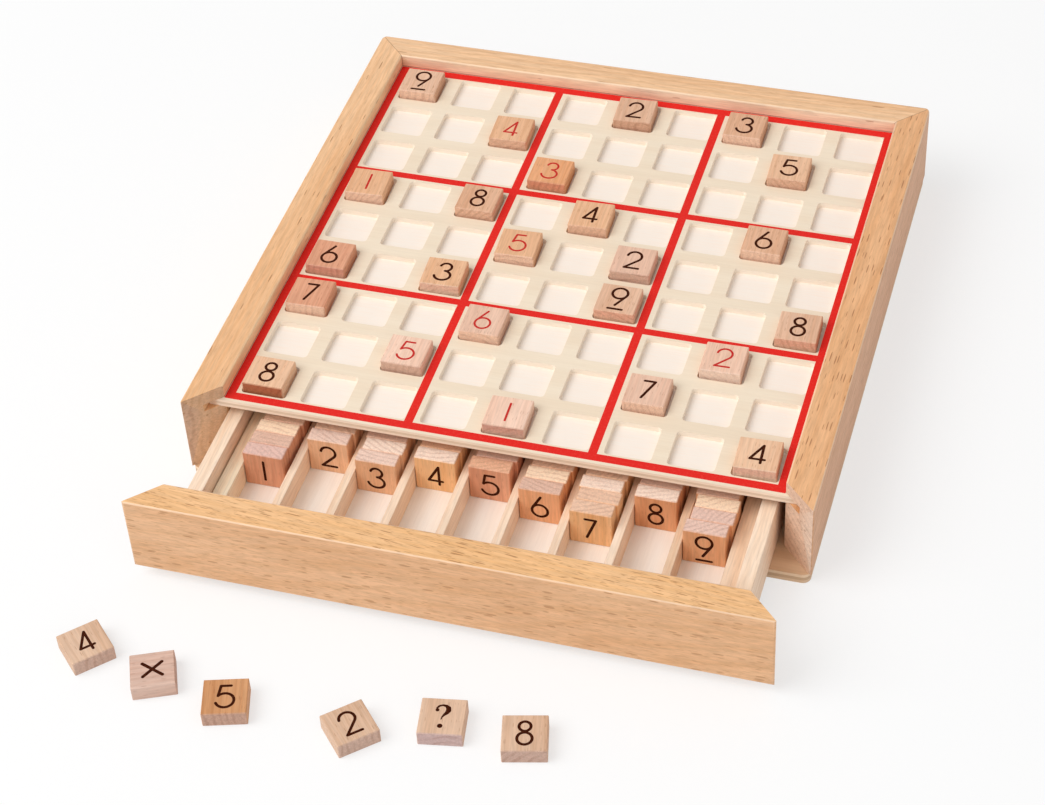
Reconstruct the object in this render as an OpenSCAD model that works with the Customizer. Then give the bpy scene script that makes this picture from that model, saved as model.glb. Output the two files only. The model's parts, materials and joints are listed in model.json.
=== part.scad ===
// Wooden sudoku board: a mitred frame holding a board of square pockets,
// with number tiles on the board, in the lanes of a drawer and loose beside it.
// The origin is the middle of the base panel's underside and the drawer opens towards -Y.

/* [Tiles] */
// Side of a number tile
tile_w = 15.2; // [12:0.1:18]
// Thickness of a number tile
tile_t = 6; // [4:0.1:8]
// Bevel along a tile's edges
tile_bevel = 0.3; // [0.15:0.05:0.8]

/* [Board] */
// Play of a tile across its pocket
pocket_play = 1.8; // [1.4:0.1:3]
// How far the tiles lie to the right in their pockets, as a share of the play on a side
pocket_lean = -0.4; // [-0.5:0.1:0.5]
// Width of the land between neighbouring pockets
cell_land = 5.5; // [4.4:0.1:8]
// Width of the board between its outer pockets and the rails
board_rim = 4.1; // [2:0.1:8]
// How far the cells lie to the right of the frame's middle
grid_shift = 0.6; // [0:0.1:1.2]
// How far the cells lie in front of the frame's middle
grid_drop = 0.2; // [0:0.1:1.2]
// Depth of a cell's pocket
pocket_depth = 2.2; // [1:0.1:2.4]
// Corner radius of a cell's pocket
pocket_round = 1.5; // [0.8:0.1:3]
// Thickness of the board
board_t = 3; // [2.8:0.1:4.5]
// How far the board's front edge stands out past the frame's inside
board_reach = 1.7; // [0:0.1:4]

/* [Frame] */
// Width of a rail across its section
rail_w = 12; // [9:0.1:16]
// Rounding of a rail's long edges
rail_round = 0.7; // [0.4:0.1:1.6]
// Rounding of the frame's upright corners at the back
corner_round = 3.5; // [1:0.5:5]
// Rounding of the upright corners at the front, on the rails and the drawer front
front_round = 1.5; // [0.5:0.5:5]
// How far the rails stand above the board
rail_lip = 5.4; // [3:0.2:9]
// Depth of the groove that holds the board's edge
groove_depth = 6; // [4:0.5:7.5]

/* [Base panel] */
// Thickness of the base panel
base_t = 4; // [2.5:0.5:8]
// How far the base panel is set in from the frame's sides and back
base_inset = 0.5; // [0:0.5:4]
// How far the base panel is set in from the frame's front
base_front_inset = 0; // [0:0.5:4]
// Rounding of the base panel's corners
base_round = 3; // [1:0.5:8]

/* [Drawer] */
// How far the drawer stands open
drawer_open = 51; // [1:1:68]
// How far the drawer lies to the right in its bay, as a share of its play on a side
drawer_lean = -0.55; // [-0.6:0.05:0.6]
// How far the drawer front lies to the right of the drawer's middle
front_shift = -0.5; // [-0.8:0.1:0.8]
// How far the lanes lie to the right of the drawer's middle
lane_shift = -0.4; // [-1.5:0.1:1.5]
// Thickness of a drawer side wall
side_t = 5.6; // [4:0.2:8]
// Thickness of the drawer's back wall
back_t = 5.6; // [4:0.2:9]
// Thickness of the drawer's bottom panel
bottom_t = 3; // [2:0.5:5]
// Play of a tile across its lane
lane_play = 1.9; // [1.5:0.1:3.2]
// How far a lane's front tile stands to the right, as a share of the play on a side
lane_lean = -0.75; // [-0.8:0.05:0.8]
// Room left for a finger in a full lane
finger_room = 20.8; // [12:0.1:35]
// Thickness of a lane divider
divider_t = 3; // [2:0.1:3.8]
// Height of a lane divider above the bottom panel
divider_h = 9.8; // [5:0.2:13]

/* [Clearances] */
// Height between the tiles that stand in the lanes and the board
head_room = 4.9; // [4:0.1:12]
// Height between the drawer's walls and the board
wall_gap = 3.7; // [1:0.1:6]
// Play between the drawer's side and the rail
drawer_play = 1.8; // [0.8:0.1:2.4]
// Running gap under the drawer
drawer_lift = 0.3; // [0.1:0.1:0.8]
// Play of the board's thickness in its groove
groove_play = 0.2; // [0.1:0.1:0.5]
// Play between the board's edge and the bottom of its groove
board_edge_play = 0.5; // [0.2:0.1:1]
// Seam between a drawer side and the filler strip beside it
filler_seam = 0.5; // [0.2:0.1:0.8]
// Air between tiles that stand in a lane
stack_gap = 0.1; // [0.05:0.05:0.3]

/* [Hidden] */
$fn = 48;
// Cells along one side of the board, and lanes in the drawer
cells = 9;
// Tiles of each number in the set
tiles_per_number = 9;
// Turn that all the tiles on the board share, and how far each may differ from it
shared_turn = 1.2;
own_turn = 1.2;
// Lean of the tiles behind a lane's front one, and how far each may differ from it,
// both as shares of the play on a side
row_lean = 0.1;
row_sway = 0.6;
// Amount by which cutting shapes overrun the solid they cut
overrun = 1;

// Tiles on the board: row from the back, column from the left, number
board_tiles = [
    [1, 1, 9], [1, 5, 2], [1, 7, 3],
    [2, 3, 4], [2, 8, 5],
    [3, 4, 3],
    [4, 1, 1], [4, 3, 8], [4, 5, 4], [4, 8, 6],
    [5, 4, 5], [5, 6, 2],
    [6, 1, 6], [6, 3, 3], [6, 6, 9], [6, 9, 8],
    [7, 1, 7], [7, 4, 6], [7, 8, 2],
    [8, 3, 5], [8, 7, 7],
    [9, 1, 8], [9, 5, 1], [9, 9, 4]
];

// Tiles beside the board: mark, place to the right of the middle and place
// in front of the open drawer, both in tile widths, and turn
loose_tiles = [
    ["4", -7.74, 2.54, 46],
    ["times", -5.95, 2.93, 24],
    ["5", -4.1, 3.27, 17],
    ["2", -1.2, 3.31, 43],
    ["query", 0.69, 2.65, 10],
    ["8", 2.55, 2.66, 14]
];

// Cells and lanes that follow from the tile
pocket_w = tile_w + pocket_play;
cell_pitch = pocket_w + cell_land;
lane_w = tile_w + lane_play;
lane_pitch = lane_w + divider_t;
lane_l = tiles_per_number * (tile_t + stack_gap) + finger_room;

// Frame round the cells
inner_half = (cells * cell_pitch - cell_land) / 2 + board_rim;
frame_w = 2 * (inner_half + rail_w);

// Heights of the main faces
drawer_z = base_t + drawer_lift;
lane_floor = drawer_z + bottom_t;
board_under = lane_floor + tile_w + head_room;
board_top = board_under + board_t;
pocket_floor = board_top - pocket_depth;
wall_top = board_under - wall_gap;
groove_z = board_under - groove_play / 2;
groove_h = board_t + groove_play;
rail_top = board_top + rail_lip;

// Places in the drawer
drawer_x = drawer_lean * drawer_play;
drawer_half = inner_half - drawer_play;
bay_half = drawer_half - side_t;
lanes_half = (cells * lane_pitch - divider_t) / 2;
front_y = -frame_w / 2 - drawer_open;
front_back_y = front_y + rail_w;
lane_end_y = front_back_y + lane_l;

function cell_x(column) = grid_shift + (column - (cells + 1) / 2) * cell_pitch;
function cell_y(row) = ((cells + 1) / 2 - row) * cell_pitch - grid_drop;
function lane_x(lane) = lane_shift + (lane - (cells + 1) / 2) * lane_pitch;

// Uneven number between -1 and 1 for a pair of whole numbers
function uneven(a, b) = sin(100 * a + 70 * b);

function board_tile_turn(t) = shared_turn + own_turn * uneven(t[0], t[1]);
function board_tile_name(t) = str("tile_row", t[0], "_col", t[1]);
function loose_tile_name(t) = str("loose_tile_", t[0]);
function lane_tiles_name(lane) = str("lane_", lane, "_tiles");
function divider_name(i) = str("lane_divider_", i);

// Tiles of a number that are still in its lane
function taken(number) = len([for (t = board_tiles) if (t[2] == number) t])
    + len([for (t = loose_tiles) if (t[0] == str(number)) t]);
function lane_count(lane) = tiles_per_number - taken(lane);

// Lean of tile i of a lane, counted from the back
function tile_lean(lane, i) = i == lane_count(lane)
    ? lane_lean
    : row_lean + row_sway * uneven(i, lane);

// Rectangle with round corners, its lower left corner at the origin
module round_rectangle(w, h, r) {
    translate([r, 0])
        square([w - 2 * r, h]);
    translate([0, r])
        square([w, h - 2 * r]);
    for (x = [r, w - r], y = [r, h - r])
        translate([x, y])
            circle(r);
}

// Rectangle with bevelled corners, centred
module bevel_rectangle(w, h, c) {
    polygon([
        [-w / 2 + c, -h / 2], [w / 2 - c, -h / 2], [w / 2, -h / 2 + c], [w / 2, h / 2 - c],
        [w / 2 - c, h / 2], [-w / 2 + c, h / 2], [-w / 2, h / 2 - c], [-w / 2, -h / 2 + c]
    ]);
}

// Plan of one of the frame's four sides, the back one, with its mitred ends and the rounding at each
module mitred_plan(left_round, right_round) {
    intersection() {
        translate([-frame_w / 2, -frame_w / 2])
            round_rectangle(2 * frame_w, frame_w, left_round);
        translate([-3 * frame_w / 2, -frame_w / 2])
            round_rectangle(2 * frame_w, frame_w, right_round);
        polygon([[0, 0], [frame_w, frame_w], [-frame_w, frame_w]]);
    }
}

// Section of the moulding: the inside with its groove at the left, bottom at height z0
module moulding_section(z0) {
    difference() {
        translate([0, z0])
            round_rectangle(rail_w, rail_top - z0, rail_round);
        translate([-overrun, groove_z])
            square([groove_depth + overrun, groove_h]);
    }
}

// One mitred side of the frame, lying along the back
module moulding(z0, left_round, right_round) {
    intersection() {
        translate([-frame_w / 2, inner_half, 0])
            rotate([90, 0, 90])
                linear_extrude(frame_w)
                    moulding_section(z0);
        linear_extrude(rail_top + overrun)
            mitred_plan(left_round, right_round);
    }
}

// Number tile lying flat, its underside at the origin
module tile() {
    translate([0, 0, tile_t / 2])
        intersection() {
            linear_extrude(tile_t, center = true)
                bevel_rectangle(tile_w, tile_w, tile_bevel);
            rotate([90, 0, 0])
                linear_extrude(tile_w, center = true)
                    bevel_rectangle(tile_w, tile_t, tile_bevel);
            rotate([90, 0, 90])
                linear_extrude(tile_w, center = true)
                    bevel_rectangle(tile_w, tile_t, tile_bevel);
        }
}

// Moves a piece sideways with the drawer
module in_drawer() {
    translate([drawer_x, 0, 0])
        children();
}

// Block from one corner to another
module block(low, high) {
    translate(low)
        cube(high - low);
}

module base_panel() {
    panel_w = frame_w - 2 * base_inset;
    panel_l = frame_w - base_inset - base_front_inset;
    color("burlywood")
        translate([-panel_w / 2, -frame_w / 2 + base_front_inset, 0])
            linear_extrude(base_t)
                round_rectangle(panel_w, panel_l, base_round);
}

module left_rail() {
    color("sandybrown")
        rotate(90)
            moulding(base_t, front_round, corner_round);
}

module right_rail() {
    color("sandybrown")
        rotate(-90)
            moulding(base_t, corner_round, front_round);
}

module back_rail() {
    color("sandybrown")
        moulding(base_t, corner_round, corner_round);
}

// Plywood board: three edges lie in the rails' grooves, the front edge is free
module board_panel() {
    held_half = inner_half + groove_depth - board_edge_play;
    color("cornsilk")
        difference() {
            block(
                [-held_half, -inner_half - board_reach, board_under],
                [held_half, held_half, board_top]
            );
            for (row = [1 : cells], column = [1 : cells])
                translate([cell_x(column) - pocket_w / 2, cell_y(row) - pocket_w / 2, pocket_floor])
                    linear_extrude(pocket_depth + overrun)
                        round_rectangle(pocket_w, pocket_w, pocket_round);
        }
}

// Drawer front: the same moulding, so the shut drawer closes the frame
module drawer_front() {
    color("sandybrown")
        translate([drawer_x + front_shift, -drawer_open, 0])
            rotate(180)
                moulding(drawer_z, front_round, front_round);
}

// Side wall of the drawer, at the right
module drawer_side() {
    color("wheat")
        block(
            [bay_half, front_back_y, drawer_z],
            [drawer_half, lane_end_y + back_t, wall_top]
        );
}

module drawer_left_side() {
    in_drawer()
        mirror([1, 0, 0])
            drawer_side();
}

module drawer_right_side() {
    in_drawer()
        drawer_side();
}

module drawer_back() {
    color("wheat")
        in_drawer()
            block(
                [-bay_half, lane_end_y, drawer_z],
                [bay_half, lane_end_y + back_t, wall_top]
            );
}

module drawer_bottom() {
    color("floralwhite")
        in_drawer()
            block(
                [-bay_half, front_back_y, drawer_z],
                [bay_half, lane_end_y, lane_floor]
            );
}

// Strip that fills the space between the edge of the lanes and the drawer's right side
module filler_strip(lanes_edge) {
    color("wheat")
        block(
            [lanes_edge, front_back_y, lane_floor],
            [bay_half - filler_seam, lane_end_y, lane_floor + divider_h]
        );
}

module left_filler_strip() {
    in_drawer()
        mirror([1, 0, 0])
            filler_strip(lanes_half - lane_shift);
}

module right_filler_strip() {
    in_drawer()
        filler_strip(lanes_half + lane_shift);
}

// Divider on the right of lane i
module lane_divider(i) {
    left = lane_x(i) + lane_w / 2;
    color("wheat")
        in_drawer()
            block(
                [left, front_back_y, lane_floor],
                [left + divider_t, lane_end_y, lane_floor + divider_h]
            );
}

// Tiles on edge in a lane, pushed back against the drawer's back wall
module lane_tiles(lane) {
    color("tan")
        in_drawer()
            for (i = [1 : lane_count(lane)])
                translate([
                    lane_x(lane) + tile_lean(lane, i) * lane_play / 2,
                    lane_end_y - i * (tile_t + stack_gap),
                    lane_floor + tile_w / 2
                ])
                    rotate([-90, 0, 0])
                        tile();
}

// Tile lying in its pocket, turned a little in the play around it
module board_tile(t) {
    color("tan")
        translate([cell_x(t[1]) + pocket_lean * pocket_play / 2, cell_y(t[0]), pocket_floor])
            rotate(board_tile_turn(t))
                tile();
}

// Tile lying on the table
module loose_tile(t) {
    color("tan")
        translate([t[1] * tile_w, front_y - t[2] * tile_w, 0])
            rotate(t[3])
                tile();
}

base_panel();
left_rail();
right_rail();
back_rail();
board_panel();
drawer_front();
drawer_left_side();
drawer_right_side();
drawer_back();
drawer_bottom();
left_filler_strip();
right_filler_strip();
for (i = [1 : cells - 1])
    lane_divider(i);
for (lane = [1 : cells])
    lane_tiles(lane);
for (t = board_tiles)
    board_tile(t);
for (t = loose_tiles)
    loose_tile(t);
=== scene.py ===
"""Looks of the wooden sudoku board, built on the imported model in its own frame, in metres."""

import json
import math

import bmesh
import bpy
from mathutils import Matrix, Quaternion, Vector
from mathutils.geometry import delaunay_2d_cdt


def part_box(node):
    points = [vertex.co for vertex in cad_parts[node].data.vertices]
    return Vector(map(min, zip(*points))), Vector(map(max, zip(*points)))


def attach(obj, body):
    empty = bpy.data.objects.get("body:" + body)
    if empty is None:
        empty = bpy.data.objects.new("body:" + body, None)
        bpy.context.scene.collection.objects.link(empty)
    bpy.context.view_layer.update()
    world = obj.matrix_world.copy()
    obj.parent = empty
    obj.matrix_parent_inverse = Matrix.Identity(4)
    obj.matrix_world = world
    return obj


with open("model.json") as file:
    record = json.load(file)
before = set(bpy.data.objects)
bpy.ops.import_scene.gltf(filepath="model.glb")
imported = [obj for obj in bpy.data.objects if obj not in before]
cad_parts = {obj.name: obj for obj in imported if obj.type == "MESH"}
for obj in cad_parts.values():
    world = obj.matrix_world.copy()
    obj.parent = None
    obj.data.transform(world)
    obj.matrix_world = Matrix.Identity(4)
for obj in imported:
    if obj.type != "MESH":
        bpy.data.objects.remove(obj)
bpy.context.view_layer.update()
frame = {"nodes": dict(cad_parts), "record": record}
nodes = frame["nodes"]
bodies = frame["record"]["behaviour"]["bodies"]
body_of_node = {name: body for body, names in bodies.items() for name in names}
MM = 0.001

# Camera: the photograph's place, direction, roll and lens
PHOTO_W = 1045
FOCAL_PX = 2573.4
CAMERA_PLACE = Vector((0.2170, -0.7107, 0.6581))
AZIMUTH, ELEVATION, ROLL = math.radians(18.79), math.radians(43.32), math.radians(-3.68)
SENSOR_MM = 36.0

# Light: strength of the white world, the floor's width, paint and share of plain white, and the two lamps
WORLD_LIGHT = 0.52
FLOOR_W, FLOOR_PAINT, FLOOR_GLOW = 8.0, 0.95, 0.6
LAMP_TARGET = (0, -0.03, 0.02)
KEY_PLACE, KEY_SIZE, KEY_WATTS = (-1.44, -1.05, 2.1), 2.2, 51.0
FILL_PLACE, FILL_SIZE, FILL_WATTS = (0.9, -1.2, 0.9), 1.2, 2.5

# Printed lines in millimetres: the two edges of each line, from left to right and from front to back
LINE_EDGES_X = [-102.5, -99.3, -35.65, -32.45, 31.85, 35.05, 99.2, 102.5]
LINE_EDGES_Y = [-102.95, -99.5, -35.55, -32.35, 31.95, 35.15, 98.85, 102.5]
INK_T = 0.03 * MM

# Marks: widths of the strokes in millimetres for each ink, and for the cross
STROKES = {"black": 1.0, "red": 0.82}
CROSS_STROKE = 1.2

# Turn of the tiles on the board in degrees: the shared turn and the most that a tile differs from it
SHARED_TURN, OWN_TURN = 1.2, 1.2

# Tiles: width, thickness with the air between two in a lane, and how strongly their flecks show
TILE_W = 15.2 * MM
TILE_STEP = 6.1 * MM
TILE_FLECKS = 0.45
LANE_FLECKS = 0.3

# Turn of the growth rings from one tile to the next, in radians
BOARD_RING_TURN, LOOSE_RING_TURN = 1.7, 1.1

# Widths of the soft edges
RAIL_EDGE, BOX_EDGE, BASE_EDGE, BOARD_EDGE = 0.15 * MM, 0.4 * MM, 0.4 * MM, 0.3 * MM

# Directions of grain
ALONG_X, ALONG_Y, ALONG_Z = (1.0, 0.0, 0.0), (0.0, 1.0, 0.0), (0.0, 0.0, 1.0)
FRONT_GRAIN = (1.0, -0.08, 0.0)
RIGHT_GRAIN = (0.03, 1.0, 0.0)

# Rails: how far the tree's middle lies from them, their inner faces and the board's top between them
RAIL_PITH = 80 * MM
RAIL_INSIDE = -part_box("left_rail")[1].x
BOARD_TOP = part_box("board_panel")[1].z

# Tiles on the board: row, column, mark, its ink, tone of the wood, tone of the end grain
BOARD_TILES = [
    (1, 1, "9", "black", "rose", "light"), (1, 5, "2", "black", "rose", "dark"),
    (1, 7, "3", "black", "tan", "light"), (2, 3, "4", "red", "amber", "mid"),
    (2, 8, "5", "black", "peach", "mid"), (3, 4, "3", "red", "orange", "brown"),
    (4, 1, "1", "red", "amber", "light"), (4, 3, "8", "black", "tan", "mid"),
    (4, 5, "4", "black", "amber", "mid"), (4, 8, "6", "black", "tan", "light"),
    (5, 4, "5", "red", "amber", "light"), (5, 6, "2", "black", "blush", "dusk"),
    (6, 1, "6", "black", "russet", "clay"), (6, 3, "3", "black", "amber", "sand"),
    (6, 6, "9", "black", "rose", "mid"), (6, 9, "8", "black", "rose", "mid"),
    (7, 1, "7", "black", "russet", "light"), (7, 4, "6", "red", "blush", "light"),
    (7, 8, "2", "red", "shell", "chalk"), (8, 3, "5", "red", "pale", "dusk"),
    (8, 7, "7", "black", "blush", "light"), (9, 1, "8", "black", "peach", "umber"),
    (9, 5, "1", "red", "pale", "dusk"), (9, 9, "4", "black", "peach", "sand"),
]

# Tiles beside the board: ending of the node's name, turn in degrees, tone, tone of the end, turn of the grain
LOOSE_TILES = [
    ("4", 46, "oat", "grey", 0), ("times", 24, "mauve", "rust", 90), ("5", 17, "gold", "rust", 0),
    ("2", 43, "oat", "grey", 0), ("query", 10, "oat", "plum", 0), ("8", 14, "oat", "stone", 0),
]

# Lanes: tone of the tiles' sides, and tones of their upper ends from the front, over and over
LANES = [
    ("russet", ["mauve", "ash", "butter", "straw"]),
    ("amber", ["pearl", "straw"]),
    ("fawn", ["pearl", "ivory_lit", "ash"]),
    ("wheat", ["ivory_lit", "brown"]),
    ("russet", ["brown", "ash"]),
    ("orange", ["ash", "butter", "straw"]),
    ("wheat", ["straw", "straw", "ivory_lit", "straw"]),
    ("copper", ["ivory_lit", "ash"]),
    ("cinnamon", ["lilac", "lilac", "butter", "ash"]),
]


def srgb(red, green, blue):
    """Linear colour of an 8-bit sRGB one, with alpha."""
    def linear(value):
        share = value / 255
        return share / 12.92 if share <= 0.04045 else ((share + 0.055) / 1.055) ** 2.4
    return (linear(red), linear(green), linear(blue), 1.0)


def tinted(colour, red, green, blue):
    """A colour with each channel times a factor."""
    return (colour[0] * red, colour[1] * green, colour[2] * blue, 1.0)


# Tile woods: a paler and a deeper colour of each
TONES = {
    "pale": (srgb(247, 210, 187), srgb(235, 188, 161)),
    "blush": (srgb(238, 198, 173), srgb(223, 175, 148)),
    "rose": (srgb(233, 190, 160), srgb(215, 165, 131)),
    "tan": (srgb(230, 181, 147), srgb(212, 157, 120)),
    "amber": (srgb(237, 187, 147), srgb(221, 163, 118)),
    "peach": (srgb(241, 198, 163), srgb(227, 176, 138)),
    "shell": (srgb(244, 204, 179), srgb(231, 183, 155)),
    "fawn": (srgb(241, 190, 149), srgb(224, 167, 123)),
    "wheat": (srgb(249, 200, 149), srgb(236, 176, 116)),
    "cinnamon": (srgb(240, 183, 138), srgb(222, 157, 109)),
    "orange": (srgb(241, 178, 132), srgb(224, 153, 100)),
    "copper": (srgb(231, 166, 120), srgb(211, 139, 90)),
    "russet": (srgb(229, 167, 132), srgb(206, 135, 101)),
    "mauve": (srgb(221, 189, 172), srgb(200, 160, 141)),
    "oat": (srgb(224, 190, 163), srgb(206, 165, 133)),
    "gold": (srgb(214, 159, 112), srgb(190, 128, 78)),
}
TILE_ENDS = {
    "light": srgb(236, 196, 170), "mid": srgb(224, 179, 150), "dark": srgb(210, 163, 135),
    "brown": srgb(213, 150, 116), "umber": srgb(172, 106, 70), "grey": srgb(206, 172, 153),
    "chalk": srgb(238, 209, 190), "sand": srgb(229, 197, 171), "dusk": srgb(213, 175, 154),
    "clay": srgb(212, 159, 134), "rust": srgb(195, 155, 134), "plum": srgb(198, 168, 162),
    "stone": srgb(199, 165, 148),
}
# The palest end tone, set on lane tops under the board's edge, is brighter than their wood: painted light
# against the shade there.
LANE_ENDS = {
    "mauve": srgb(227, 188, 175), "lilac": srgb(233, 197, 181), "ash": srgb(226, 186, 165),
    "straw": srgb(236, 195, 167), "pearl": srgb(240, 208, 191), "ivory_lit": srgb(253, 227, 208),
    "butter": srgb(255, 224, 193), "brown": srgb(236, 183, 149),
}

# Rails: tone of the painted highlights on their rounded long edges, and of the dark seams
PAINTED_HIGHLIGHT = srgb(255, 226, 196)
# The dark seam tone also paints the shadow in the groove's gap where the board enters the rails: painted
# shadow.
SEAM_AND_SHADOW = srgb(96, 44, 26)


class Nodes:
    """One material, with short calls that add nodes and join them up."""

    def __init__(self, name, roughness):
        self.material = bpy.data.materials.new(name)
        self.material.use_nodes = True
        self.tree = self.material.node_tree
        self.shader = self.tree.nodes["Principled BSDF"]
        self.roughness = roughness
        coordinates = self.tree.nodes.new("ShaderNodeTexCoord")
        self.place = coordinates.outputs["Object"]
        self.normal = coordinates.outputs["Normal"]

    def put(self, socket, value):
        if isinstance(value, bpy.types.NodeSocket):
            self.tree.links.new(value, socket)
        else:
            socket.default_value = value

    def add(self, kind, settings, *values):
        node = self.tree.nodes.new("ShaderNode" + kind)
        for key, value in settings.items():
            setattr(node, key, value)
        for socket, value in zip(node.inputs, values):
            self.put(socket, value)
        return node

    def math(self, operation, a, b=0.0):
        return self.add("Math", {"operation": operation}, a, b).outputs[0]

    def vector(self, operation, a, b):
        return self.add("VectorMath", {"operation": operation}, a, b).outputs[0]

    def noise(self, vector, scale, detail=2.0):
        node = self.add("TexNoise", {})
        self.put(node.inputs["Vector"], self.vector("MULTIPLY", vector, scale))
        node.inputs["Scale"].default_value = 1.0
        node.inputs["Detail"].default_value = detail
        return node.outputs[0]

    def chance(self, value):
        """A random colour that stays the same for the same value."""
        node = self.add("TexWhiteNoise", {"noise_dimensions": "1D"})
        self.put(node.inputs["W"], value)
        return node.outputs["Color"]

    def flecks(self, vector, length, width, share):
        """Spots along X of random size up to a length and a width, on that share of a lattice's cells."""
        widest = 0.35
        node = self.add("TexVoronoi", {})
        scale = (2 * widest / length, 2 * widest / width, 2 * widest / width)
        self.put(node.inputs["Vector"], self.vector("MULTIPLY", vector, scale))
        node.inputs["Scale"].default_value = 1.0
        luck = self.part(node.outputs["Color"], "X")
        size = self.span(luck, 1.0 - share, 1.0, 0.0, widest)
        inside = self.math("SUBTRACT", size, node.outputs["Distance"])
        return self.span(inside, 0.0, 0.08)

    def steps(self, number, colours):
        """One colour for each whole number from 0 up, over and over."""
        count = float(len(colours))
        share = self.math("DIVIDE", self.math("ADD", self.math("MODULO", number, count), 0.5), count)
        node = self.add("ValToRGB", {}, share)
        node.color_ramp.interpolation = "CONSTANT"
        node.color_ramp.elements.remove(node.color_ramp.elements[1])
        node.color_ramp.elements[0].color = colours[0]
        for i, colour in enumerate(colours[1:], start=1):
            node.color_ramp.elements.new(i / count).color = colour
        return node.outputs["Color"]

    def span(self, value, low, high, to_low=0.0, to_high=1.0):
        node = self.add("MapRange", {"interpolation_type": "SMOOTHSTEP"}, value, low, high, to_low, to_high)
        return node.outputs[0]

    def mix(self, factor, a, b, blend="MIX"):
        node = self.add("Mix", {"data_type": "RGBA", "blend_type": blend})
        self.put(node.inputs["Factor"], factor)
        self.put(node.inputs[6], a)
        self.put(node.inputs[7], b)
        return node.outputs[2]

    def shaded(self, colour, factor):
        """A colour times a number."""
        grey = self.add("CombineColor", {}, factor, factor, factor).outputs[0]
        return self.mix(1.0, colour, grey, "MULTIPLY")

    def part(self, vector, axis):
        return self.add("SeparateXYZ", {}, vector).outputs["XYZ".index(axis)]

    def facing(self, axis, low, high):
        """1 on faces square to an axis, 0 on faces along it."""
        dot = self.add("VectorMath", {"operation": "DOT_PRODUCT"}, self.normal, axis).outputs["Value"]
        return self.span(self.math("ABSOLUTE", dot), low, high)

    def finish(self, colour, height, depth, strength):
        """Joins up the colour and the relief, with the hollows a little rougher."""
        self.put(self.shader.inputs["Base Color"], colour)
        roughness = self.span(height, 0.0, 0.6, self.roughness + 0.08, self.roughness - 0.06)
        self.put(self.shader.inputs["Roughness"], roughness)
        relief = self.add("Bump", {})
        self.put(relief.inputs["Height"], height)
        relief.inputs["Distance"].default_value = depth
        relief.inputs["Strength"].default_value = strength
        self.put(self.shader.inputs["Normal"], relief.outputs[0])
        return self.material


def along_grain(n, axis, spin, pith):
    """Coordinates turned so that X runs along the grain, with the tree's middle at the origin."""
    turn = Quaternion((1, 0, 0), spin) @ Vector(axis).rotation_difference(Vector((1, 0, 0)))
    node = n.add("Mapping", {"vector_type": "POINT"}, n.place, (0.0, pith, 0.4 * pith), turn.to_euler())
    return node.outputs[0]


def ring_lines(n, grain, width):
    """Uneven growth rings round the tree's middle, from 0 to 1 across each."""
    flat = n.vector("MULTIPLY", grain, (0.03, 1.0, 1.0))
    radius = n.add("VectorMath", {"operation": "LENGTH"}, flat).outputs["Value"]
    bend = n.math("MULTIPLY", n.noise(grain, (12, 55, 55)), 2.5 * width)
    ripple = n.math("MULTIPLY", n.noise(grain, (25, 330, 330)), 0.7 * width)
    turns = n.math("DIVIDE", n.math("ADD", n.math("ADD", radius, bend), ripple), width / (2 * math.pi))
    return n.span(n.math("SINE", turns), -0.2, 1.0)


def wood_base(n, grain, axis, pale, deep, end, ring):
    """Colour of wood from clouds, rings and fibres, with other end grain, and its fibres."""
    clouds = n.span(n.noise(grain, (10, 70, 70), 3), 0.32, 0.68)
    rings = ring_lines(n, grain, ring)
    fibres = n.noise(grain, (120, 1600, 1600), 3)
    tone = n.math("ADD", n.math("MULTIPLY", clouds, 0.6), n.math("MULTIPLY", rings, 0.3))
    colour = n.mix(tone, pale, deep)
    strength = n.span(n.noise(grain, (40, 160, 160)), 0.35, 0.65, 0.3, 1.0)
    late = n.mix(1.0, end, (0.85, 0.79, 0.76, 1.0), "MULTIPLY")
    across = n.mix(n.math("MULTIPLY", rings, strength), end, late)
    pores = n.noise(grain, (400, 1000, 1000), 3)
    across = n.shaded(across, n.span(pores, 0.3, 0.7, 0.95, 1.06))
    colour = n.mix(n.facing(axis, 0.5, 0.85), colour, across)
    return n.shaded(colour, n.span(fibres, 0.3, 0.7, 0.91, 1.06)), fibres


def wood(name, tones, end, axis, fleck, fleck_length=2.4 * MM, ring=2.4 * MM, spin=0.6, pith=30 * MM):
    """Beech or a like wood with its grain along an axis and short flecks."""
    n = Nodes(name, 0.6)
    grain = along_grain(n, axis, spin, pith)
    colour, fibres = wood_base(n, grain, axis, *tones, end, ring)
    spots = n.flecks(grain, fleck_length, 0.3 * MM, 0.6)
    colour = n.mix(n.math("MULTIPLY", spots, fleck), colour, tinted(tones[1], 0.55, 0.42, 0.34))
    height = n.math("SUBTRACT", n.math("MULTIPLY", fibres, 0.6), n.math("MULTIPLY", spots, 0.5))
    return n.finish(colour, height, 0.1 * MM, 0.3)


def stack_wood(name, tones, ends, axis, front_y, seed):
    """Wood of tiles that stand in a row, each cut from another place and with its own upper end."""
    n = Nodes(name, 0.6)
    number = n.math("FLOOR", n.math("DIVIDE", n.math("SUBTRACT", n.part(n.place, "Y"), front_y), TILE_STEP))
    where = n.chance(n.math("ADD", number, 10.0 * seed))
    apart = n.vector("MULTIPLY", n.vector("SUBTRACT", where, (0.5, 0.5, 0.5)), (0.3, 0.16, 0.16))
    grain = n.vector("ADD", along_grain(n, axis, 0.0, 0.0), apart)
    colour, fibres = wood_base(n, grain, axis, *tones, n.steps(number, ends), 2.0 * MM)
    spots = n.flecks(grain, 2.4 * MM, 0.3 * MM, 0.6)
    colour = n.mix(n.math("MULTIPLY", spots, LANE_FLECKS), colour, tinted(tones[1], 0.55, 0.42, 0.34))
    return n.finish(colour, fibres, 0.1 * MM, 0.3)


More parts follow.
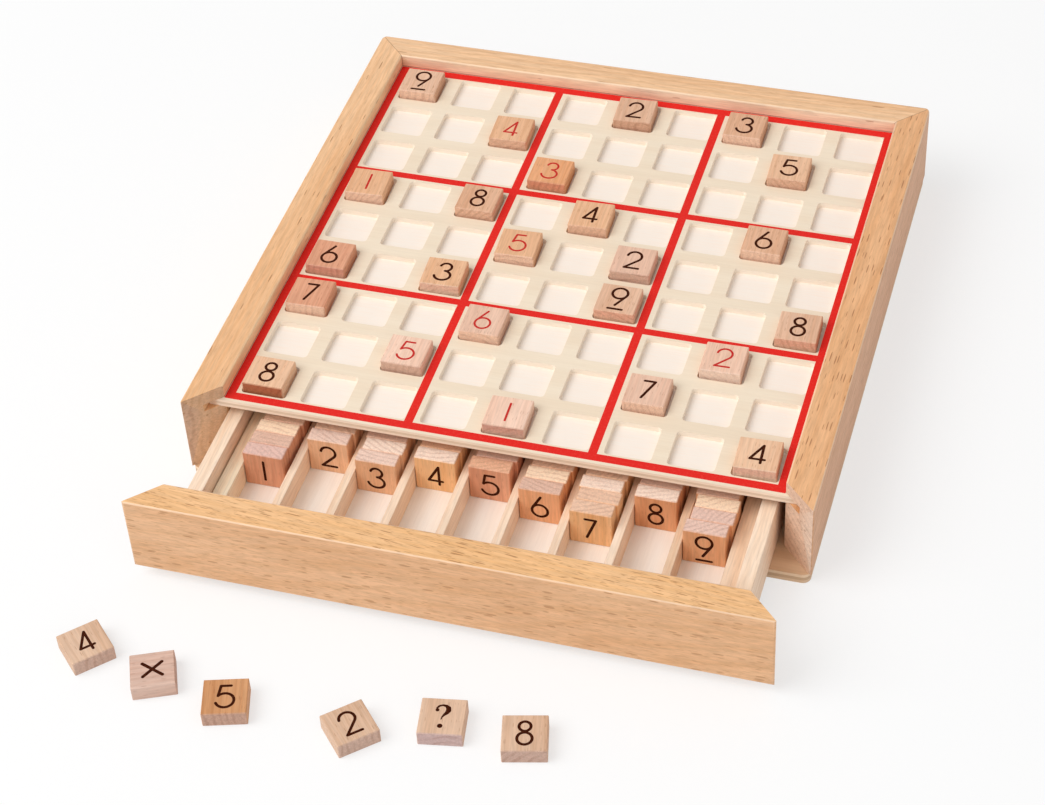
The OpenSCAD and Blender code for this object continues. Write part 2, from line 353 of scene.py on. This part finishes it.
def seam_and_shadow_lines(n):
    """Share of dark: dark joint lines along the mitres at the back, and a painted shadow of the groove's gap
    on the rails' inner faces where the board enters them.
    """
    across, along, height = (n.part(n.place, axis) for axis in "XYZ")
    side, reach = n.math("ABSOLUTE", across), n.math("ABSOLUTE", along)
    off_mitre = n.math("ABSOLUTE", n.math("SUBTRACT", side, reach))
    at_back = n.math("GREATER_THAN", along, 0.0)
    mitre = n.math("MULTIPLY", n.span(off_mitre, 0.28 * MM, 0.1 * MM, 0.0, 0.5), at_back)
    # Painted shadow: a dark band on the rails' inner faces just above the board, where the groove's gap lies
    # in shade.
    groove_shadow = n.span(height, BOARD_TOP + 0.7 * MM, BOARD_TOP + 0.2 * MM, 0.0, 0.6)
    inner_face = n.math("LESS_THAN", n.math("MAXIMUM", side, reach), RAIL_INSIDE + 0.1 * MM)
    above_board = n.math("MULTIPLY", inner_face, n.math("GREATER_THAN", height, BOARD_TOP))
    return n.math("MAXIMUM", mitre, n.math("MULTIPLY", groove_shadow, above_board))


def rail_wood(name, axis, top, face, end, dashes, lines, blots, highlight_share, spin):
    """Lacquered beech: dashes and fine lines on top, soft blots on the sides, painted highlights on the long
    edges, dark mitre seams and a painted shadow where the board enters.
    """
    n = Nodes(name, 0.5)
    grain = along_grain(n, axis, spin, RAIL_PITH)
    # Top faces and side faces take their own pairs of colours; the back rail's side colours hold painted light
    # and the right rail's hold painted shade.
    level = n.facing(ALONG_Z, 0.6, 0.95)
    pale, deep = n.mix(level, face[0], top[0]), n.mix(level, face[1], top[1])
    colour, fibres = wood_base(n, grain, axis, pale, deep, end, 3 * MM)
    colour = n.shaded(colour, n.span(n.noise(grain, (90, 600, 600), 3), 0.3, 0.7, 0.95, 1.05))
    dash = n.flecks(grain, 6 * MM, 0.55 * MM, dashes)
    line = n.span(n.noise(n.vector("ADD", grain, (0.2, 0.1, 0.3)), (230, 2200, 2200), 2), 0.55, 0.7)
    blot = n.flecks(n.vector("ADD", grain, (0.3, 0.2, 0.1)), 5 * MM, 0.9 * MM, blots)
    brown = tinted(top[1], 0.46, 0.34, 0.24)
    colour = n.mix(n.math("MULTIPLY", line, n.span(level, 0.0, 1.0, 0.5 * lines, lines)), colour, brown)
    colour = n.mix(n.math("MULTIPLY", dash, n.span(level, 0.0, 1.0, 0.3, 0.75)), colour, brown)
    colour = n.mix(n.math("MULTIPLY", blot, n.span(level, 1.0, 0.0, 0.05, 0.5)), colour, brown)
    # Painted highlight: a paler band on the rounded long edges, where they catch the light.
    lighter = n.math("MULTIPLY", n.facing(ALONG_Z, 0.1, 0.4), n.facing(ALONG_Z, 0.99, 0.85))
    colour = n.mix(n.math("MULTIPLY", lighter, highlight_share), colour, PAINTED_HIGHLIGHT)
    # Dark mitre joints, and painted shadow on the rails' inner faces just above the board.
    colour = n.mix(seam_and_shadow_lines(n), colour, SEAM_AND_SHADOW)
    height = n.math("SUBTRACT", n.math("MULTIPLY", fibres, 0.6), n.math("MULTIPLY", dash, 0.5))
    return n.finish(colour, height, 0.1 * MM, 0.3)


def ply_colour(n, axis, pale, deep, layers):
    """Face of plywood and the layers on its edges, each given with the height that it starts at."""
    grain = along_grain(n, axis, 0.0, 0.0)
    streaks = n.span(n.noise(grain, (7, 150, 150), 4), 0.3, 0.72)
    fibres = n.noise(grain, (90, 1700, 1700), 3)
    height = n.part(n.place, "Z")
    face = n.mix(streaks, pale, deep)
    edge = layers[0][1]
    for start, layer in layers[1:]:
        edge = n.mix(n.span(height, start - 0.06 * MM, start + 0.06 * MM), edge, layer)
    edge = n.mix(n.span(fibres, 0.4, 0.8, 0.0, 0.3), edge, deep)
    return face, edge, height, fibres


def plywood(name, axis, pale, deep, layers):
    """Bare plywood with layered edges."""
    n = Nodes(name, 0.62)
    face, edge, _, fibres = ply_colour(n, axis, pale, deep, layers)
    colour = n.mix(n.facing(ALONG_Z, 0.3, 0.7), edge, face)
    colour = n.shaded(colour, n.span(fibres, 0.3, 0.7, 0.97, 1.02))
    return n.finish(colour, fibres, 0.05 * MM, 0.2)


def board_plywood(name, axis, land, floor, pocket_wall, layers, floor_top, front_y):
    """Plywood of the board: cream on top, whiter in the pockets, with layers on its front edge alone."""
    n = Nodes(name, 0.62)
    face, edge, height, fibres = ply_colour(n, axis, *land, layers)
    cut = n.mix(n.span(fibres, 0.35, 0.7), *floor)
    face = n.mix(n.math("LESS_THAN", height, floor_top), face, cut)
    wall = n.mix(n.math("LESS_THAN", n.part(n.place, "Y"), front_y), pocket_wall, edge)
    colour = n.mix(n.facing(ALONG_Z, 0.3, 0.7), wall, face)
    colour = n.shaded(colour, n.span(fibres, 0.3, 0.7, 0.98, 1.015))
    return n.finish(colour, fibres, 0.05 * MM, 0.2)


def ink(name, full, lighter):
    """Ink or a burnt mark that lets a little of the fibre through."""
    n = Nodes(name, 0.7)
    n.shader.inputs["Specular IOR Level"].default_value = 0.05
    spread = n.noise(n.place, (1100, 1100, 1100), 3)
    return n.finish(n.mix(n.span(spread, 0.45, 0.85), full, lighter), spread, 0.03 * MM, 0.25)


def dress(node, material):
    """Gives a CAD node one material."""
    mesh = nodes[node].data
    mesh.materials.clear()
    mesh.materials.append(material)


def soften(node, width):
    """Rounds a CAD node's sharp edges a little."""
    weld = nodes[node].modifiers.new("weld", "WELD")
    weld.merge_threshold = 0.002 * MM
    bevel = nodes[node].modifiers.new("soft_edges", "BEVEL")
    bevel.width = width
    bevel.segments = 2
    bevel.limit_method = "ANGLE"
    bevel.angle_limit = math.radians(35)
    bevel.harden_normals = True


# Rails and drawer front
LEFT_TOP = (srgb(241, 194, 148), srgb(229, 173, 121))
LEFT_FACE = (srgb(252, 219, 176), srgb(243, 200, 150))
BACK_TOP = (srgb(243, 200, 157), srgb(229, 177, 128))
# The back rail's side colours are paler than its top: painted light on its inner face, which faces the front.
BACK_FACE_LIT = (srgb(248, 222, 193), srgb(238, 203, 166))
RIGHT_TOP = (srgb(236, 182, 133), srgb(222, 162, 109))
# The right rail's side colours are darker than its top: painted shade for its shadowed outer face.
RIGHT_FACE_SHADED = (srgb(222, 168, 126), srgb(207, 149, 104))
FRONT_TOP = (srgb(243, 194, 142), srgb(232, 177, 117))
FRONT_FACE = (srgb(231, 184, 141), srgb(218, 166, 119))
MITRE = srgb(238, 202, 172)
# The left rail's mitre end is darker than the other ends: painted shade, as it faces away from the key light.
LEFT_MITRE_SHADED = srgb(204, 170, 144)
RIGHT_MITRE = srgb(238, 212, 192)
rail_woods = {
    "left_rail": rail_wood(
        "left_beech", ALONG_Y, LEFT_TOP, LEFT_FACE, LEFT_MITRE_SHADED,
        dashes=0.2, lines=0.18, blots=0.2, highlight_share=0.1, spin=0.4,
    ),
    "back_rail": rail_wood(
        "back_beech", ALONG_X, BACK_TOP, BACK_FACE_LIT, MITRE,
        dashes=0.15, lines=0.22, blots=0.2, highlight_share=0.3, spin=1.1,
    ),
    "right_rail": rail_wood(
        "right_beech", RIGHT_GRAIN, RIGHT_TOP, RIGHT_FACE_SHADED, RIGHT_MITRE,
        dashes=0.9, lines=0.2, blots=0.3, highlight_share=0.5, spin=-0.5,
    ),
    "drawer_front": rail_wood(
        "front_beech", FRONT_GRAIN, FRONT_TOP, FRONT_FACE, MITRE,
        dashes=0.6, lines=0.6, blots=0.7, highlight_share=0.5, spin=0.2,
    ),
}
for name, material in rail_woods.items():
    dress(name, material)
    soften(name, RAIL_EDGE)

# Drawer box
BASSWOOD = (srgb(253, 228, 203), srgb(240, 203, 169))
# The left filler strip's wood is paler than the rest: painted light against the shade beside the drawer's left
# side.
LIT_BASSWOOD = (srgb(255, 240, 212), srgb(252, 218, 178))
DULL_BASSWOOD = (srgb(243, 214, 186), srgb(228, 188, 152))


def box_wood(name, tones, axis):
    """Pale wood of the drawer box, with few, long flecks."""
    return wood(name, tones, tones[0], axis, 0.16, fleck_length=8 * MM, ring=4 * MM, spin=0.3, pith=100 * MM)


side_wood = box_wood("drawer_side_wood", BASSWOOD, ALONG_Y)
box_woods = {f"lane_divider_{i}": side_wood for i in range(1, 9)}
box_woods["drawer_left_side"] = box_woods["drawer_right_side"] = side_wood
box_woods["drawer_back"] = box_wood("drawer_back_wood", BASSWOOD, ALONG_X)
box_woods["left_filler_strip"] = box_wood("left_filler_wood", LIT_BASSWOOD, ALONG_Y)
dull_wood = box_wood("dull_side_wood", DULL_BASSWOOD, ALONG_Y)
box_woods["right_filler_strip"] = box_woods["lane_divider_8"] = dull_wood
for name, material in box_woods.items():
    dress(name, material)
    soften(name, BOX_EDGE)
floor_pale, floor_deep = srgb(255, 247, 237), srgb(252, 240, 227)
dress("drawer_bottom", plywood("drawer_floor_ply", ALONG_Y, floor_pale, floor_deep, [(0.0, floor_deep)]))

# Base panel and board
base_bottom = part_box("base_panel")[0].z
base_layers = [
    (base_bottom, srgb(232, 200, 166)),
    (base_bottom + 1.3 * MM, srgb(206, 172, 138)),
    (base_bottom + 2.7 * MM, srgb(238, 210, 178)),
]
dress("base_panel", plywood("base_ply", ALONG_X, srgb(226, 192, 157), srgb(211, 173, 136), base_layers))
soften("base_panel", BASE_EDGE)

board_low, board_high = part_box("board_panel")
board_layers = [
    (board_low.z, srgb(252, 230, 208)),
    (board_low.z + 1.0 * MM, srgb(232, 208, 182)),
    (board_low.z + 2.0 * MM, srgb(254, 234, 213)),
]
board_land = (srgb(243, 226, 202), srgb(239, 219, 193))
board_floor = (srgb(251, 239, 227), srgb(248, 233, 219))
pocket_wall = srgb(246, 232, 214)
dress("board_panel", board_plywood(
    "board_ply", ALONG_X, board_land, board_floor, pocket_wall, board_layers,
    board_high.z - 2 * MM, board_low.y + 0.5 * MM,
))
soften("board_panel", BOARD_EDGE)


def arc(x, y, rx, ry, start, end):
    """Points of an arc, angles in degrees."""
    count = max(6, int(abs(end - start) / 7.5))
    angles = [math.radians(start + (end - start) * i / count) for i in range(count + 1)]
    return [(x + rx * math.cos(a), y + ry * math.sin(a)) for a in angles]


# Marks: strokes in millimetres about the tile's middle
SIX = [[(0.45, 4.7), (-2.5, -0.57)], arc(0.0, -1.97, 2.86, 2.86, 0, 360)]
NINE = [[(-x, 0.98 - y) for x, y in stroke] for stroke in SIX]
GLYPHS = {
    "1": [[(0, 4.35), (0, -4.35)]],
    "2": [arc(-0.05, 2.0, 2.7, 2.7, 172, -42) + [(-2.7, -4.6)], [(-2.7, -4.6), (2.7, -4.6)]],
    "3": [
        arc(0.2, 2.55, 2.15, 2.15, 165, -68) + [(0.3, 0.45)],
        [(0.3, 0.45)] + arc(-0.15, -2.15, 3.05, 2.65, 72, -170),
    ],
    "4": [[(1.3, 4.3), (1.3, -4.3)], [(1.3, 4.3), (-2.6, -2.6)], [(-2.6, -2.6), (2.55, -2.6)]],
    "5": [
        [(1.9, 4.5), (-1.5, 4.5)],
        [(-1.5, 4.5), (-2.25, 0.35)],
        arc(0.05, -1.75, 3.1, 3.0, 138, -160),
    ],
    "6": SIX,
    "7": [[(-1.95, 4.35), (1.95, 4.35)], [(1.95, 4.35), (-1.4, -4.35)]],
    "8": [arc(0, 2.75, 1.97, 1.97, 0, 360), arc(0, -2.3, 2.5, 2.5, 0, 360)],
    "9": NINE + [[(-2.65, -5.8), (2.65, -5.8)]],
    "times": [[(-3.3, 2.9), (3.3, -2.9)], [(3.3, 2.9), (-3.3, -2.9)]],
}
# Question mark: points of its hook with the width there, then its ball and its dot with their radii
QUERY_HOOK = [
    (-2.05, 2.6, 0.6), (-2.0, 3.4, 0.7), (-1.35, 4.3, 0.72), (-0.2, 4.65, 0.75),
    (1.0, 4.35, 1.1), (1.75, 3.5, 1.65), (1.85, 2.5, 1.75), (1.4, 1.5, 1.4),
    (0.6, 0.6, 0.9), (0.05, -0.3, 0.55), (-0.2, -1.3, 0.35),
]
QUERY_BALLS = [(-1.85, 2.55, 0.65), (-0.25, -4.1, 0.9)]


def disc(x, y, radius):
    return arc(x, y, radius, radius, 0, 345)


def stroke_faces(points, widths):
    """Polygons that cover a stroke with round ends and joins."""
    faces = [disc(x, y, w / 2) for (x, y), w in zip(points, widths)]
    for (x0, y0), (x1, y1), w0, w1 in zip(points, points[1:], widths, widths[1:]):
        length = math.hypot(x1 - x0, y1 - y0)
        dx, dy = (y0 - y1) / length / 2, (x1 - x0) / length / 2
        faces.append([
            (x0 - dx * w0, y0 - dy * w0), (x1 - dx * w1, y1 - dy * w1),
            (x1 + dx * w1, y1 + dy * w1), (x0 + dx * w0, y0 + dy * w0),
        ])
    return faces


def flat_mesh(name, polygons):
    """One flat mesh that covers overlapping polygons, given in millimetres."""
    corners = [Vector(point) for face in polygons for point in face]
    starts = [sum(len(face) for face in polygons[:i]) for i in range(len(polygons))]
    faces = [list(range(start, start + len(face))) for start, face in zip(starts, polygons)]
    points, _, triangles, _, _, origins = delaunay_2d_cdt(corners, [], faces, 0, 1e-4)
    covered = [triangle for triangle, origin in zip(triangles, origins) if origin]
    mesh = bpy.data.meshes.new(name)
    mesh.from_pydata([(p.x * MM, p.y * MM, 0.0) for p in points], [], covered)
    shape = bmesh.new()
    shape.from_mesh(mesh)
    bmesh.ops.delete(shape, geom=[v for v in shape.verts if not v.link_faces], context="VERTS")
    bmesh.ops.dissolve_limit(shape, angle_limit=0.01, verts=shape.verts, edges=shape.edges)
    shape.to_mesh(mesh)
    shape.free()
    return mesh


def glyph_mesh(mark, width):
    """A mark's flat mesh with strokes of one width; the question mark has its own widths."""
    if mark == "query":
        points = [(x, y) for x, y, _ in QUERY_HOOK]
        faces = stroke_faces(points, [width for _, _, width in QUERY_HOOK])
        faces += [disc(*ball) for ball in QUERY_BALLS]
    else:
        faces = [face for stroke in GLYPHS[mark] for face in stroke_faces(stroke, [width] * len(stroke))]
    return flat_mesh(f"mark_{mark}", faces)


inks = {
    "black": ink("burnt_mark", srgb(56, 18, 3), srgb(88, 42, 18)),
    "red": ink("red_mark", srgb(198, 46, 42), srgb(212, 84, 72)),
}
red_print = ink("red_print", srgb(228, 45, 39), srgb(233, 66, 55))


def lay_ink(name, mesh, material, place, body):
    """Adds a thin layer of ink to a body."""
    piece = bpy.data.objects.new(name, mesh)
    bpy.context.scene.collection.objects.link(piece)
    piece.matrix_world = place
    piece.data.materials.append(material)
    thick = piece.modifiers.new("ink", "SOLIDIFY")
    thick.thickness = 2 * INK_T
    thick.offset = 0.0
    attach(piece, body)


def mark_tile(node, mark, colour, place):
    mesh = glyph_mesh(mark, CROSS_STROKE if mark == "times" else STROKES[colour])
    lay_ink(f"{node}_mark", mesh, inks[colour], place, body_of_node[node])


def flat_tile(node, mark, colour, tone, end, turn, grain_turn, spin):
    """Wood and mark of a tile that lies flat."""
    low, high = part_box(node)
    middle = (low + high) / 2
    angle = math.radians(turn + grain_turn + 90)
    axis = (math.cos(angle), math.sin(angle), 0.0)
    dress(node, wood(f"{node}_wood", TONES[tone], TILE_ENDS[end], axis, TILE_FLECKS, spin=spin))
    place = Matrix.Translation((middle.x, middle.y, high.z)) @ Matrix.Rotation(math.radians(turn), 4, "Z")
    mark_tile(node, mark, colour, place)


for i, (row, column, mark, colour, tone, end) in enumerate(BOARD_TILES):
    turn = SHARED_TURN + OWN_TURN * math.sin(math.radians(100 * row + 70 * column))
    flat_tile(f"tile_row{row}_col{column}", mark, colour, tone, end, turn, 0, BOARD_RING_TURN * i)
for i, (mark, turn, tone, end, grain_turn) in enumerate(LOOSE_TILES):
    flat_tile(f"loose_tile_{mark}", mark, "black", tone, end, turn, grain_turn, LOOSE_RING_TURN * i)
for lane, (tone, ends) in enumerate(LANES, start=1):
    node = f"lane_{lane}_tiles"
    low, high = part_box(node)
    end_tones = [LANE_ENDS[end] for end in ends]
    dress(node, stack_wood(f"{node}_wood", TONES[tone], end_tones, ALONG_Z, low.y, lane))
    front_middle = Vector((low.x + TILE_W / 2, low.y, (low.z + high.z) / 2))
    place = Matrix.Translation(front_middle) @ Matrix.Rotation(math.radians(90), 4, "X")
    mark_tile(node, str(lane), "black", place)


def printed_grid():
    """Lines round the board and between its blocks, as one flat mesh."""
    shape = bmesh.new()
    corner = [[shape.verts.new((x * MM, y * MM, 0.0)) for y in LINE_EDGES_Y] for x in LINE_EDGES_X]
    for i in range(len(LINE_EDGES_X) - 1):
        for j in range(len(LINE_EDGES_Y) - 1):
            if i % 2 == 0 or j % 2 == 0:
                shape.faces.new((corner[i][j], corner[i + 1][j], corner[i + 1][j + 1], corner[i][j + 1]))
    mesh = bpy.data.meshes.new("printed_grid")
    shape.to_mesh(mesh)
    shape.free()
    return mesh


board_face = Matrix.Translation((0, 0, board_high.z))
lay_ink("printed_grid", printed_grid(), red_print, board_face, "case")


def area_light(name, place, target, size, watts):
    lamp = bpy.data.lights.new(name, "AREA")
    lamp.size = size
    lamp.energy = watts
    holder = bpy.data.objects.new(name, lamp)
    bpy.context.scene.collection.objects.link(holder)
    holder.location = place
    holder.rotation_mode = "QUATERNION"
    holder.rotation_quaternion = (Vector(target) - Vector(place)).to_track_quat("-Z", "Y")


def seen_share(tree):
    """1 for what the camera sees, straight, mirrored or through glass, and 0 for what lights the scene."""
    path = tree.nodes.new("ShaderNodeLightPath")
    seen = path.outputs["Is Camera Ray"]
    for other in ("Is Glossy Ray", "Is Transmission Ray"):
        either = tree.nodes.new("ShaderNodeMath")
        either.operation = "MAXIMUM"
        tree.links.new(seen, either.inputs[0])
        tree.links.new(path.outputs[other], either.inputs[1])
        seen = either.outputs[0]
    return seen


def white_world(strength):
    """White light of one strength that shows as plain white."""
    world = bpy.data.worlds.new("studio")
    world.use_nodes = True
    bpy.context.scene.world = world
    tree = world.node_tree
    background = tree.nodes["Background"]
    background.inputs["Color"].default_value = (1.0, 1.0, 1.0, 1.0)
    level = tree.nodes.new("ShaderNodeMapRange")
    tree.links.new(seen_share(tree), level.inputs["Value"])
    level.inputs["To Min"].default_value = strength
    level.inputs["To Max"].default_value = 1.0
    tree.links.new(level.outputs[0], background.inputs["Strength"])


def pale_floor(size, albedo, share):
    """Floor that keeps shadows and shows as white where it is fully lit."""
    bpy.ops.mesh.primitive_plane_add(size=size)
    floor = bpy.context.object
    floor.name = "floor"
    n = Nodes("floor_paint", 0.9)
    n.shader.inputs["Roughness"].default_value = n.roughness
    n.shader.inputs["Base Color"].default_value = (albedo, albedo, albedo, 1.0)
    n.shader.inputs["Specular IOR Level"].default_value = 0.1
    glow = n.add("Emission", {}, (1.0, 1.0, 1.0, 1.0), 1.0)
    seen = n.math("MULTIPLY", seen_share(n.tree), share)
    blend = n.add("MixShader", {}, seen, n.shader.outputs[0], glow.outputs[0])
    n.tree.links.new(blend.outputs[0], n.tree.nodes["Material Output"].inputs["Surface"])
    floor.data.materials.append(n.material)


white_world(WORLD_LIGHT)
pale_floor(FLOOR_W, FLOOR_PAINT, FLOOR_GLOW)
area_light("key", KEY_PLACE, LAMP_TARGET, KEY_SIZE, KEY_WATTS)
area_light("fill", FILL_PLACE, LAMP_TARGET, FILL_SIZE, FILL_WATTS)

lens = bpy.data.cameras.new("camera")
lens.sensor_width = SENSOR_MM
lens.lens = SENSOR_MM * FOCAL_PX / PHOTO_W
camera = bpy.data.objects.new("camera", lens)
bpy.context.scene.collection.objects.link(camera)
forward = Vector((
    -math.sin(AZIMUTH) * math.cos(ELEVATION),
    math.cos(AZIMUTH) * math.cos(ELEVATION),
    -math.sin(ELEVATION),
))
camera.location = CAMERA_PLACE
camera.rotation_mode = "QUATERNION"
camera.rotation_quaternion = forward.to_track_quat("-Z", "Y") @ Quaternion((0, 0, 1), ROLL)
bpy.context.scene.camera = camera
bpy.context.scene.view_settings.view_transform = "Standard"
